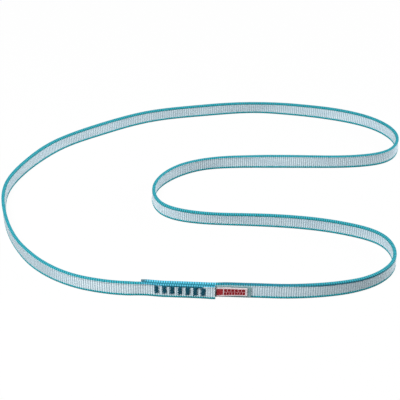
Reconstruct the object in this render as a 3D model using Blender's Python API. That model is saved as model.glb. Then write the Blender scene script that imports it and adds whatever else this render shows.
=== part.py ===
"""A sewn climbing sling, standing on the edge of its webbing.

One strip of flat webbing makes a loop. Its two ends overlap in a seam that seven bar tacks close:
a needle thread shows on the outer face of each tack and a bobbin thread on the inner face. A label
of two leaves is sewn in under the seam's outer end, and its leaves lift off the webbing like pages.
Lengths are in metres. X runs along the loop, Y from its front row to its back row, Z is up.
"""

from math import ceil, cos, pi, sin

import bmesh
import bpy
import numpy as np

# The loop
SLING_LENGTH = 0.600  # pulled straight, from one end of the loop to the other
SEAM_LENGTH = 0.050  # how far the strip's two ends overlap
SECTION_STEP = 0.0070  # greatest distance between two cross-sections of the strip

# The webbing's cross-section
WEBBING_WIDTH = 0.0110
WEBBING_THICKNESS = 0.0025  # over the selvedges
GROUND_THICKNESS = 0.0023  # of the plain weave between them
SELVEDGE_WIDTH = 0.0015
EDGE_FLAT_WIDTH = 0.0013  # flat of the edge that the sling stands on
EDGE_ROUNDING = 0.0004

# The seam
LAYER_GAP = 0.0003
CLIMB_LENGTH = 0.036  # over this length the outer layer climbs past the inner layer's end
TAIL_LIFT = 0.0009  # how far the inner layer's free end stands off
TAIL_LENGTH = 0.016
FLAP_LENGTH = 0.012  # the outer layer lifts over the label along this length

# The bar tacks
TACK_COUNT = 7
TACK_PITCH = 0.00525
TACK_WIDTH = 0.0036
TACK_HEIGHT = 0.0079
TACK_RISE = 0.0005  # the tacks sit this much nearer the webbing's upper edge
FIRST_TACK_FROM_END = 0.0104  # from the inner layer's end to the middle of the first tack
THREAD_DIAMETER = 0.00050
THREAD_PASSES = 10
THREAD_GAP = 0.0003  # between a thread and the face that it lies on
JUMP_RISE = 0.0002  # rise of the loose thread between the last two tacks

# The label
FRONT_LEAF_LENGTH = 0.0208
FRONT_LEAF_HEIGHT = 0.00805  # at the seam
FRONT_LEAF_NARROWING = 0.0009  # its lower edge rises this much towards its free end
FRONT_LEAF_FOOT = 0.00135  # height of its lower edge at the seam
REAR_LEAF_LENGTH = 0.0232
REAR_LEAF_HEIGHT = 0.0089
REAR_LEAF_FOOT = 0.0011
LEAF_THICKNESS = 0.0003
LEAF_GAP = 0.0002  # between the leaves, and from them to the webbing
LEAF_ROOT_GAP = 0.0007  # from the outer layer's end to the leaves' crease
SEWN_END_LENGTH = 0.0040
SEWN_END_THICKNESS = 0.0005  # both leaves' ends, pressed together

# Centreline of the loop, seen from above, as shares of its circumference. The route starts at the
# inner layer's end and runs to the right along the front row, then round the loop.
ROUTE_SHARES = (
    (-0.0385, -0.0980),
    (0.0030, -0.1000),
    (0.0385, -0.1015),
    (0.0730, -0.0990),
    (0.0965, -0.0905),
    (0.1090, -0.0750),
    (0.1065, -0.0570),
    (0.0885, -0.0450),
    (0.0595, -0.0375),
    (0.0200, -0.0340),
    (-0.0110, -0.0310),
    (-0.0300, -0.0215),
    (-0.0350, -0.0035),
    (-0.0265, 0.0135),
    (-0.0070, 0.0260),
    (0.0235, 0.0305),
    (0.0715, 0.0305),
    (0.1050, 0.0320),
    (0.1250, 0.0405),
    (0.1310, 0.0580),
    (0.1225, 0.0750),
    (0.1015, 0.0885),
    (0.0695, 0.0975),
    (0.0330, 0.1015),
    (-0.0060, 0.0970),
    (-0.0430, 0.0885),
    (-0.0755, 0.0715),
    (-0.1030, 0.0515),
    (-0.1210, 0.0265),
    (-0.1305, -0.0005),
    (-0.1275, -0.0285),
    (-0.1165, -0.0565),
    (-0.0985, -0.0790),
    (-0.0740, -0.0935),
    (-0.0555, -0.0975),
)
CURVE_POINTS = 6000  # close points along the smooth curve, for measuring lengths
TURN_POINTS = 2  # points in a thread's turn, between the two passes that it joins
JUMP_POINTS = 9
LEAF_SECTIONS = 6

# Colours, linear, with roughness
GROUND_COLOUR = (0.61, 0.73, 0.79)
SELVEDGE_COLOUR = (0.020, 0.27, 0.33)
THREAD_COLOUR = (0.010, 0.090, 0.135)
FRONT_LEAF_COLOUR = (0.78, 0.70, 0.72)
REAR_LEAF_COLOUR = (0.24, 0.39, 0.41)
WOVEN_ROUGHNESS = 0.75
THREAD_ROUGHNESS = 0.5


def clear_scene():
    for obj in list(bpy.data.objects):
        bpy.data.objects.remove(obj)


def material(name, colour, roughness):
    made = bpy.data.materials.new(name)
    made.use_nodes = True
    shader = made.node_tree.nodes["Principled BSDF"]
    shader.inputs["Base Color"].default_value = (*colour, 1)
    shader.inputs["Roughness"].default_value = roughness
    made.diffuse_color = (*colour, 1)
    return made


def place(name, data, parent, location=(0, 0, 0), heading=0):
    obj = bpy.data.objects.new(name, data)
    bpy.context.scene.collection.objects.link(obj)
    obj.parent = parent
    obj.location = location
    obj.rotation_euler = (0, 0, heading)
    return obj


# The loop's centreline


def closed_spline(points, count):
    """A smooth closed curve through the points, as count close points: a periodic cubic spline."""
    points = np.array(points, float)
    number = len(points)
    step = np.linalg.norm(np.roll(points, -1, axis=0) - points, axis=1)
    slope = (np.roll(points, -1, axis=0) - points) / step[:, None]
    before = np.roll(step, 1)
    rows = np.arange(number)
    system = np.zeros((number, number))
    system[rows, rows] = 2 * (before + step)
    system[rows, (rows - 1) % number] = before
    system[rows, (rows + 1) % number] = step
    bend = np.linalg.solve(system, 6 * (slope - np.roll(slope, 1, axis=0)))
    start = np.concatenate(([0], np.cumsum(step)))
    at = np.linspace(0, start[-1], count, endpoint=False)
    i = np.searchsorted(start, at, side="right") - 1
    h = step[i][:, None]
    b = (at - start[i])[:, None] / h
    a = 1 - b
    j = (i + 1) % number
    straight = a * points[i] + b * points[j]
    return straight + ((a**3 - a) * bend[i] + (b**3 - b) * bend[j]) * h**2 / 6


class Loop:
    """The closed centreline: points and outward directions by distance from the route's start."""

    def __init__(self, length):
        curve = closed_spline(ROUTE_SHARES, CURVE_POINTS)
        curve = np.vstack((curve, curve[:1]))
        steps = np.linalg.norm(np.diff(curve, axis=0), axis=1)
        scale = length / steps.sum()
        self.length = length
        self.points = curve * scale
        self.distance = np.concatenate(([0], np.cumsum(steps))) * scale
        ahead = np.roll(self.points[:-1], -1, axis=0) - np.roll(self.points[:-1], 1, axis=0)
        out = np.column_stack((ahead[:, 1], -ahead[:, 0])) / np.linalg.norm(ahead, axis=1)[:, None]
        self.out = np.vstack((out, out[:1]))

    def at(self, t):
        """The centreline's point at distance t, and the unit direction out of the loop there."""
        t = t % self.length
        point = np.array([np.interp(t, self.distance, self.points[:, k]) for k in (0, 1)])
        out = np.array([np.interp(t, self.distance, self.out[:, k]) for k in (0, 1)])
        return point, out / np.linalg.norm(out)


def smooth_step(value):
    value = min(max(value, 0), 1)
    return value * value * (3 - 2 * value)


class Strip:
    """The webbing strip: it goes once round the loop and then lies outside its own first part."""

    def __init__(self):
        self.loop = Loop(2 * SLING_LENGTH)
        self.length = self.loop.length + SEAM_LENGTH
        self.layer_step = WEBBING_THICKNESS + LAYER_GAP
        self.label_stack = SEWN_END_THICKNESS + 2 * LEAF_GAP
        self.centre = np.zeros(2)
        half = WEBBING_THICKNESS / 2
        sides = np.array([self.point(t, side) for t in self.stations() for side in (-half, half)])
        self.centre = (sides.min(axis=0) + sides.max(axis=0)) / 2

    def stations(self):
        return np.linspace(0, self.length, ceil(self.length / SECTION_STEP) + 1)

    def shift(self, t):
        """How far the strip's middle lies outside the loop's centreline at distance t along it."""
        tail = -TAIL_LIFT * smooth_step(1 - t / TAIL_LENGTH)
        climb = self.layer_step * smooth_step((t - self.loop.length + CLIMB_LENGTH) / CLIMB_LENGTH)
        flap_rise = self.label_stack - LAYER_GAP
        flap = flap_rise * smooth_step((t - self.length + FLAP_LENGTH) / FLAP_LENGTH)
        return tail + climb + flap

    def point(self, t, across):
        """Where a point lies that is across outside the strip's middle, seen from above."""
        point, out = self.loop.at(t)
        return point + out * (self.shift(t) + across) - self.centre

    def heading(self, t):
        """The strip's direction at distance t, as an angle from +X."""
        out = self.loop.at(t)[1]
        return np.arctan2(out[0], -out[1])


# The webbing


def webbing_profile():
    """Cross-section as (across, height) points, anticlockwise from the foot of the outer face."""
    edge = EDGE_FLAT_WIDTH / 2
    bead = WEBBING_THICKNESS / 2
    ground = GROUND_THICKNESS / 2
    foot = (
        (edge, 0),
        (bead, EDGE_ROUNDING),
        (bead, SELVEDGE_WIDTH - EDGE_ROUNDING / 2),
        (ground, SELVEDGE_WIDTH),
    )
    outer = foot + tuple((across, WEBBING_WIDTH - height) for across, height in reversed(foot))
    return outer + tuple((-across, height) for across, height in reversed(outer))


def webbing_mesh(strip):
    profile = webbing_profile()
    bm = bmesh.new()
    rings = []
    for t in strip.stations():
        rings.append([bm.verts.new((*strip.point(t, across), height)) for across, height in profile])
    count = len(profile)
    for ring, following in zip(rings, rings[1:]):
        for i in range(count):
            j = (i + 1) % count
            face = bm.faces.new((ring[i], following[i], following[j], ring[j]))
            middle = (profile[i][1] + profile[j][1]) / 2
            on_selvedge = min(middle, WEBBING_WIDTH - middle) < SELVEDGE_WIDTH
            face.material_index = int(on_selvedge)
    bm.faces.new(rings[0])
    bm.faces.new(reversed(rings[-1]))
    bmesh.ops.recalc_face_normals(bm, faces=bm.faces)
    mesh = bpy.data.meshes.new("webbing")
    bm.to_mesh(mesh)
    bm.free()
    mesh.shade_smooth()
    mesh.set_sharp_from_angle(angle=pi / 6)
    return mesh


def webbing(strip, parent):
    mesh = webbing_mesh(strip)
    mesh.materials.append(material("undyed_ground_weave", GROUND_COLOUR, WOVEN_ROUGHNESS))
    mesh.materials.append(material("teal_selvedge_yarn", SELVEDGE_COLOUR, WOVEN_ROUGHNESS))
    place("webbing", mesh, parent)


# The bar tacks


def thread_curve(name, points, thread):
    """A thread of round section through the points, with closed ends."""
    curve = bpy.data.curves.new(name, "CURVE")
    curve.dimensions = "3D"
    curve.bevel_depth = THREAD_DIAMETER / 2
    curve.bevel_resolution = 1
    curve.use_fill_caps = True
    spline = curve.splines.new("POLY")
    spline.points.add(len(points) - 1)
    for target, point in zip(spline.points, points):
        target.co = (*point, 1)
    curve.materials.append(thread)
    return curve


def tack_points():
    """A thread's way up the tack in its own X and Z: level passes, joined by half-round turns."""
    pass_step = (TACK_HEIGHT - THREAD_DIAMETER) / (THREAD_PASSES - 1)
    turn_radius = pass_step / 2
    reach = (TACK_WIDTH - THREAD_DIAMETER) / 2 - turn_radius
    points = []
    for number in range(THREAD_PASSES):
        side = 1 if number % 2 == 0 else -1
        height = THREAD_DIAMETER / 2 + number * pass_step - TACK_HEIGHT / 2
        points.append((-side * reach, 0, height))
        points.append((side * reach, 0, height))
        if number == THREAD_PASSES - 1:
            break
        for turn in range(1, TURN_POINTS + 1):
            angle = pi * turn / (TURN_POINTS + 1)
            across = reach + turn_radius * sin(angle)
            points.append((side * across, 0, height + turn_radius * (1 - cos(angle))))
    return points


def tack_place(number):
    """Distance along the strip's first part of the middle of a tack, counted from 1."""
    return FIRST_TACK_FROM_END + (number - 1) * TACK_PITCH


def thread_rest():
    """From the middle of the webbing to the middle of a thread that lies on its face."""
    return WEBBING_THICKNESS / 2 + THREAD_GAP + THREAD_DIAMETER / 2


def bar_tacks(strip, parent, thread):
    curve = thread_curve("tack_thread", tack_points(), thread)
    middle = WEBBING_WIDTH / 2 + TACK_RISE
    for number in range(1, TACK_COUNT + 1):
        t = tack_place(number)
        inner = strip.point(t, -thread_rest())
        outer = strip.point(t + strip.loop.length, thread_rest())
        place(f"needle_thread_{number}", curve, parent, (*outer, middle), strip.heading(t))
        place(f"bobbin_thread_{number}", curve, parent, (*inner, middle), strip.heading(t) + pi)


def jump_thread(strip, parent, thread):
    """The loose thread that the machine left between the tops of the last two tacks."""
    first = tack_place(TACK_COUNT - 1) + strip.loop.length
    clear = THREAD_GAP + THREAD_DIAMETER / 2
    lowest = (WEBBING_WIDTH + TACK_HEIGHT) / 2 + TACK_RISE + clear
    points = []
    for number in range(JUMP_POINTS):
        share = number / (JUMP_POINTS - 1)
        place_on_seam = strip.point(first + share * TACK_PITCH, thread_rest())
        points.append((*place_on_seam, lowest + JUMP_RISE * sin(pi * share)))
    place("jump_thread", thread_curve("jump_thread", points, thread), parent)


# The label


def slab_mesh(name, strip, run, layer, edges, origin):
    """A thin slab that follows the webbing's face.

    run is its start and its length along the strip, layer the distance to its inner side and its
    thickness, and edges its lower edge at the start and at the end, and its upper edge.
    """
    start, length = run
    across, thickness = layer
    foot, last_foot, top = edges
    bm = bmesh.new()
    rings = []
    for number in range(LEAF_SECTIONS):
        share = number / (LEAF_SECTIONS - 1)
        t = start + length * share
        bottom = foot + (last_foot - foot) * share
        inner = strip.point(t, across)
        outer = strip.point(t, across + thickness)
        corners = ((inner, bottom), (outer, bottom), (outer, top), (inner, top))
        rings.append([bm.verts.new((*(point - origin), z)) for point, z in corners])
    for ring, following in zip(rings, rings[1:]):
        for i in range(4):
            j = (i + 1) % 4
            bm.faces.new((ring[i], following[i], following[j], ring[j]))
    bm.faces.new(rings[0])
    bm.faces.new(reversed(rings[-1]))
    bmesh.ops.recalc_face_normals(bm, faces=bm.faces)
    mesh = bpy.data.meshes.new(name)
    bm.to_mesh(mesh)
    bm.free()
    return mesh


def label(strip, parent):
    face = WEBBING_THICKNESS / 2 + LEAF_GAP
    crease = SEAM_LENGTH + LEAF_ROOT_GAP
    rear_colour = material("rear_leaf_tape", REAR_LEAF_COLOUR, WOVEN_ROUGHNESS)
    front_colour = material("front_leaf_tape", FRONT_LEAF_COLOUR, WOVEN_ROUGHNESS)
    second_face = face + LEAF_THICKNESS + LEAF_GAP
    rear_edges = (REAR_LEAF_FOOT, REAR_LEAF_FOOT, REAR_LEAF_FOOT + REAR_LEAF_HEIGHT)
    front_foot, front_top = FRONT_LEAF_FOOT, FRONT_LEAF_FOOT + FRONT_LEAF_HEIGHT
    front_edges = (front_foot, front_foot + FRONT_LEAF_NARROWING, front_top)
    leaves = (
        ("label_rear_leaf", rear_colour, REAR_LEAF_LENGTH, face, rear_edges),
        ("label_front_leaf", front_colour, FRONT_LEAF_LENGTH, second_face, front_edges),
    )
    for name, colour, length, across, edges in leaves:
        axis = strip.point(crease + LEAF_THICKNESS / 2, across + LEAF_THICKNESS / 2)
        layer = (across, LEAF_THICKNESS)
        mesh = slab_mesh(name, strip, (crease, length), layer, edges, axis)
        mesh.materials.append(colour)
        place(name, mesh, parent, (*axis, 0))
        print(f"{name} turns about a vertical axis at", [round(float(v), 5) for v in axis])
    run = (SEAM_LENGTH - SEWN_END_LENGTH, SEWN_END_LENGTH)
    layer = (face, SEWN_END_THICKNESS)
    edges = (front_foot, front_foot, front_top)
    mesh = slab_mesh("label_sewn_end", strip, run, layer, edges, np.zeros(2))
    mesh.materials.append(front_colour)
    place("label_sewn_end", mesh, parent)


def main():
    clear_scene()
    sling = bpy.data.objects.new("sling", None)
    bpy.context.scene.collection.objects.link(sling)
    strip = Strip()
    thread = material("tack_thread", THREAD_COLOUR, THREAD_ROUGHNESS)
    webbing(strip, sling)
    bar_tacks(strip, sling, thread)
    jump_thread(strip, sling, thread)
    label(strip, sling)
    print(f"strip length {strip.length:.4f} m, of which the seam takes {SEAM_LENGTH:.4f} m twice")


main()
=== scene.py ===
# %% [markdown]
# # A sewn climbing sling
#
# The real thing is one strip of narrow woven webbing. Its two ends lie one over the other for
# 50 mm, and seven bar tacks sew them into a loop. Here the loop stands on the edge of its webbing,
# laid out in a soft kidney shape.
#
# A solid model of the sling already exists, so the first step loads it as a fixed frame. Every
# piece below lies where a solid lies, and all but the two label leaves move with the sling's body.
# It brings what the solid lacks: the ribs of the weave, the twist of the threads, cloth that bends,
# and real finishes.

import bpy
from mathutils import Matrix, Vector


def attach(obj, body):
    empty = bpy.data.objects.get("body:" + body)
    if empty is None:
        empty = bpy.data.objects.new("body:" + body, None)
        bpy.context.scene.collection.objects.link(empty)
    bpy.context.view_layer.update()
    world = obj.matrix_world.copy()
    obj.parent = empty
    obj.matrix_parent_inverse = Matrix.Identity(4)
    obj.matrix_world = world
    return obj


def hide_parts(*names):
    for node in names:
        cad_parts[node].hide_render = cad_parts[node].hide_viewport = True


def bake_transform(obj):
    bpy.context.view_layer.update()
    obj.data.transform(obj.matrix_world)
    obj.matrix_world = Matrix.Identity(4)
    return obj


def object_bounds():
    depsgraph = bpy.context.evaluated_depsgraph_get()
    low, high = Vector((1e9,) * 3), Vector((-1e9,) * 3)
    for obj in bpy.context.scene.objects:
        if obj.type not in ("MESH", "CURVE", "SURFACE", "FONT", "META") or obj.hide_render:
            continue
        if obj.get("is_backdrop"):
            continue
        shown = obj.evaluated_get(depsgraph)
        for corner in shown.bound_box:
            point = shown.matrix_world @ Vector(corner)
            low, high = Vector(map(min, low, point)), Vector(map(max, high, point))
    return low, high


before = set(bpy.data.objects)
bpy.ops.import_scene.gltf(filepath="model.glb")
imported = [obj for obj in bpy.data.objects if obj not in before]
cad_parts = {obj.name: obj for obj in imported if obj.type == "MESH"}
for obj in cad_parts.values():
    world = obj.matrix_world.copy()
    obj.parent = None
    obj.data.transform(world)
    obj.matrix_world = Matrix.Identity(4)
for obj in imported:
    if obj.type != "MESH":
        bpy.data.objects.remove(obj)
cad_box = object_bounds()

# %% The other tools
import math

import bpy
import numpy as np

scene = bpy.context.scene
MM = 0.001  # small parts are easier to read in millimetres
random = np.random.default_rng(7)  # one seed, so that every run draws the same numbers

# %% [markdown]
# ## Camera
#
# The camera comes first, because every later decision is judged through it. A long lens about
# three quarters of a metre away, looking down at 36 degrees, gives the gentle narrowing of the
# loop's far side. It is turned about X alone, so that the horizon stays level.

# %% Camera
LENS = 90
CAMERA_DISTANCE = 0.767
LOOKS_DOWN = math.radians(36)
LOOK_AT = (-0.0064, -0.0078, 0)

camera = bpy.data.objects.new("camera", bpy.data.cameras.new("camera"))
scene.collection.objects.link(camera)
camera.data.lens = LENS
camera.location = (
    LOOK_AT[0],
    LOOK_AT[1] - CAMERA_DISTANCE * math.cos(LOOKS_DOWN),
    LOOK_AT[2] + CAMERA_DISTANCE * math.sin(LOOKS_DOWN),
)
camera.rotation_euler = (math.pi / 2 - LOOKS_DOWN, 0, 0)
scene.camera = camera
print("camera at", [round(v, 3) for v in camera.location])

# %% [markdown]
# ## The way the webbing lies
#
# A flexible strip has no shape of its own, only a length and a path. The path could be a Blender
# curve, but the pieces below need exact distances along it, so it is worked out with numbers: a
# closed cubic spline through 35 points seen from above, scaled until it is 1.2 m round. It starts
# at the inner layer's end, goes right along the front row and comes back to lie outside itself.
#
# Nothing holds the strip quite upright either, so a second list says where its upper edge leans in
# or out, by up to 0.7 mm.

# %% Sizes and the route
SLING_LENGTH = 0.600  # pulled straight
SEAM_LENGTH = 50 * MM
WIDTH = 11.1 * MM  # over the beads of the selvedges
THICKNESS = 2.5 * MM  # over the selvedges
GROUND_THICKNESS = 2.3 * MM  # of the weave between them
SELVEDGE_WIDTH = {"upper": 1.6 * MM, "lower": 1.85 * MM}
CLOTH_GAP = 0.05 * MM  # the seam's layers touch; the solid keeps a wider gap
CLIMB_LENGTH = 36 * MM  # over this length the outer layer climbs past the inner layer's end
TAIL_LIFT, TAIL_LENGTH = 1.2 * MM, 16 * MM  # both layers curve in at the inner one's free end
FLAP_LENGTH = 12 * MM  # the outer layer lifts over the label
DRAWN_IN = 0.55 * MM  # the strip lies this much further in, just past the seam
DRAWN_FROM, DRAWN_TO = (48 * MM, 60 * MM), (76 * MM, 100 * MM)
LABEL_STACK = 0.3 * MM
SECTION_STEP = 7 * MM  # between the solid's cross-sections
CURVE_POINTS = 6000

ROUTE = np.array([
    (-0.0385, -0.0980), (0.0030, -0.1000), (0.0385, -0.1015), (0.0730, -0.0990),
    (0.0965, -0.0905), (0.1090, -0.0750), (0.1065, -0.0570), (0.0885, -0.0450),
    (0.0595, -0.0375), (0.0200, -0.0340), (-0.0110, -0.0310), (-0.0300, -0.0215),
    (-0.0350, -0.0035), (-0.0265, 0.0135), (-0.0070, 0.0260), (0.0235, 0.0305),
    (0.0715, 0.0305), (0.1050, 0.0320), (0.1250, 0.0405), (0.1310, 0.0580),
    (0.1225, 0.0750), (0.1015, 0.0885), (0.0695, 0.0975), (0.0330, 0.1015),
    (-0.0060, 0.0970), (-0.0430, 0.0885), (-0.0755, 0.0715), (-0.1030, 0.0515),
    (-0.1210, 0.0265), (-0.1305, -0.0005), (-0.1275, -0.0285), (-0.1165, -0.0565),
    (-0.0985, -0.0790), (-0.0740, -0.0935), (-0.0555, -0.0975),
])  # shares of the loop's circumference

LEANS = np.array([
    (0, 0), (44, 0), (58, 0.4), (110, 0.4), (135, 0.3), (152, 0), (205, 0.3), (235, 0),
    (290, 0), (335, 0.4), (370, 0), (410, -0.4), (435, 0), (460, -0.4), (485, 0), (515, 0.4),
    (570, 0), (620, 0.2), (655, 0), (700, -0.4), (738, 0), (770, 0.7), (805, 0.2), (840, 0.3),
    (872, 0), (905, -0.2), (935, 0), (962, -0.4), (992, 0), (1040, 0), (1075, 0.1), (1092, 0.1),
    (1112, 0.5), (1150, 0.2), (1190, 0.3), (1197, 0),
]) * MM  # distance along the loop, and how far the upper edge leans in there


def closed_spline(points, count):
    """A smooth closed curve through the points, as count close points."""
    number = len(points)
    forward = np.roll(points, -1, axis=0) - points
    step = np.linalg.norm(forward, axis=1)
    slope = forward / step[:, None]
    before = np.roll(step, 1)
    rows = np.arange(number)
    system = np.zeros((number, number))
    system[rows, rows] = 2 * (before + step)
    system[rows, (rows - 1) % number] = before
    system[rows, (rows + 1) % number] = step
    bend = np.linalg.solve(system, 6 * (slope - np.roll(slope, 1, axis=0)))
    start = np.concatenate(([0], np.cumsum(step)))
    at = np.linspace(0, start[-1], count, endpoint=False)
    i = np.searchsorted(start, at, side="right") - 1
    j = (i + 1) % number
    h = step[i][:, None]
    b = (at - start[i])[:, None] / h
    a = 1 - b
    straight = a * points[i] + b * points[j]
    return straight + ((a**3 - a) * bend[i] + (b**3 - b) * bend[j]) * h**2 / 6


# %% A function that places anything on the strip
def smooth_step(value):
    """0 at 0 and 1 at 1, level at both, and held there outside them."""
    value = np.clip(value, 0, 1)
    return value * value * (3 - 2 * value)


def ramp(value, low, high):
    """0 below low, 1 above high and a smooth step in between."""
    return smooth_step((value - low) / (high - low))


class Strip:
    """Turns a place on the strip into a point: distance along it, across it, and height."""

    def __init__(self):
        curve = closed_spline(ROUTE, CURVE_POINTS)
        curve = np.vstack((curve, curve[:1]))
        steps = np.linalg.norm(np.diff(curve, axis=0), axis=1)
        self.loop = 2 * SLING_LENGTH
        self.length = self.loop + SEAM_LENGTH
        scale = self.loop / steps.sum()
        self.line = curve * scale
        self.distance = np.concatenate(([0], np.cumsum(steps))) * scale
        ahead = np.roll(self.line[:-1], -1, axis=0) - np.roll(self.line[:-1], 1, axis=0)
        out = np.column_stack((ahead[:, 1], -ahead[:, 0]))
        out /= np.linalg.norm(out, axis=1)[:, None]
        self.out = np.vstack((out, out[:1]))
        self.middle = np.zeros(2)
        t = np.linspace(0, self.length, math.ceil(self.length / SECTION_STEP) + 1)
        sides = [self.at(t, a, WIDTH / 2)[:, :2] for a in (-THICKNESS / 2, THICKNESS / 2)]
        sides = np.vstack(sides)
        self.middle = (sides.min(axis=0) + sides.max(axis=0)) / 2

    def lifted(self, t):
        """How far the strip's middle lies outside the loop's centreline."""
        tail = TAIL_LIFT * smooth_step(1 - t / TAIL_LENGTH)
        behind = TAIL_LIFT * smooth_step(1 - (t - self.loop) / TAIL_LENGTH)
        climb = smooth_step((t - self.loop + CLIMB_LENGTH) / CLIMB_LENGTH)
        flap = smooth_step((t - self.length + FLAP_LENGTH) / FLAP_LENGTH)
        layer = climb * (THICKNESS + CLOTH_GAP - behind)
        past_seam = ramp(t, *DRAWN_FROM) * (1 - ramp(t, *DRAWN_TO))
        return layer - tail + flap * (LABEL_STACK - CLOTH_GAP) - DRAWN_IN * past_seam

    def lean(self, t):
        """How far the upper edge lies inside the strip's middle, and the lower edge outside."""
        places, leans = LEANS.T
        before = np.searchsorted(places, t % self.loop, side="right") - 1
        after = (before + 1) % len(places)
        share = (t % self.loop - places[before]) / ((places[after] - places[before]) % self.loop)
        return leans[before] + (leans[after] - leans[before]) * smooth_step(share)

    def at(self, t, across, height):
        """The point across outside the strip's middle at distance t, at that height."""
        given = [np.asarray(value, float) for value in (t, across, height)]
        t, across, height = np.broadcast_arrays(*given)
        across = across - self.lean(t) * (2 * height / WIDTH - 1)
        place = t % self.loop
        point = [np.interp(place, self.distance, self.line[:, k]) for k in (0, 1)]
        out = [np.interp(place, self.distance, self.out[:, k]) for k in (0, 1)]
        size = np.hypot(*out)
        away = self.lifted(t) + across
        flat = [point[k] + out[k] / size * away - self.middle[k] for k in (0, 1)]
        return np.stack([*flat, height], axis=-1)


strip = Strip()
print(f"strip {strip.length:.3f} m long, its start at", strip.at(0, 0, 0).round(4)[:2])

# %% [markdown]
# ## One mesh builder for every long piece
#
# Webbing, selvedges, threads and labels are all the same kind of shape: rings of points, joined
# one after the other and closed at both ends. Building them from rings in numpy is much faster
# than adding faces one at a time, and each corner can be given its distance along and round the
# piece as a UV map. The materials use that map to follow the weave wherever the strip bends.
#
# A second map, OFBake, lays the long piece out in rows, like a snake cut into lengths, so that a
# baked picture of it wastes no space.

# %% Build a tube from rings
ROW_FILL = 0.94  # the rest of a row is a gap to its neighbour


def face_corners(rings):
    """For every side face, its four corners' ring and place in the ring, anticlockwise outside."""
    count, number = rings.shape[:2]
    i, j = np.meshgrid(np.arange(count - 1), np.arange(number), indexing="ij")
    ring = np.stack([i, i + 1, i + 1, i], axis=-1)
    place = np.stack([j, j, j + 1, j + 1], axis=-1)
    forward = rings[1:] - rings[:-1]
    sideways = (np.roll(rings, -1, axis=1) - rings)[:-1]
    outward = (rings - rings.mean(axis=1, keepdims=True))[:-1]
    if (np.cross(forward, sideways) * outward).sum() < 0:
        return ring[..., ::-1], place[..., ::-1], False
    return ring, place, True


def tube(name, rings, along, around, rows=1):
    """A closed mesh through rings of points, with its distances along and around as UVs."""
    count, number = rings.shape[:2]
    ring, place, forward = face_corners(rings)
    faces = (ring * number + place % number).reshape(-1, 4)
    ends = [list(range(number)), [(count - 1) * number + k for k in range(number)]]
    ends[1 if forward else 0].reverse()
    mesh = bpy.data.meshes.new(name)
    mesh.vertices.add(count * number)
    mesh.vertices.foreach_set("co", rings.reshape(-1).astype(np.float32))
    loops = np.concatenate([faces.ravel(), *ends])
    mesh.loops.add(len(loops))
    mesh.loops.foreach_set("vertex_index", loops.astype(np.int32))
    mesh.polygons.add(len(faces) + 2)
    starts = np.append(np.arange(len(faces) + 1) * 4, len(faces) * 4 + number)
    mesh.polygons.foreach_set("loop_start", starts.astype(np.int32))
    mesh.update(calc_edges=True)
    mesh.validate()
    mesh.shade_smooth()
    uv = np.stack([along[ring], around[place]], axis=-1).reshape(-1, 2)
    paint_uv(mesh, "weave", uv)
    per_row = math.ceil((count - 1) / rows)
    row = ring.min(axis=-1, keepdims=True) // per_row
    share = (around[place] - around[0]) / (around[-1] - around[0])
    baked = np.stack([ring / per_row - row, (row + share * ROW_FILL) / rows], axis=-1)
    paint_uv(mesh, "OFBake", baked.reshape(-1, 2))
    made = bpy.data.objects.new(name, mesh)
    scene.collection.objects.link(made)
    return made


def paint_uv(mesh, name, uv):
    """Writes the UVs of the side faces; the two end faces get the nearest corner's."""
    layer = mesh.uv_layers.new(name=name)
    rest = len(mesh.loops) - len(uv)
    first, last = np.repeat(uv[:1], rest - rest // 2, 0), np.repeat(uv[-1:], rest // 2, 0)
    layer.uv.foreach_set("vector", np.vstack([uv, first, last]).astype(np.float32).ravel())


# %% [markdown]
# ## Shader maths that reads like maths
#
# A weave is a pattern of distances: how far along a rib a point is, how far across a yarn. In the
# shader editor that takes dozens of Math nodes. Here a small class wraps one socket, so that an
# expression such as 1 - groove * 0.3 adds those nodes by itself. Every other node comes from the
# method node(), which takes its type, its settings and the values or links of its sockets.

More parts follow.
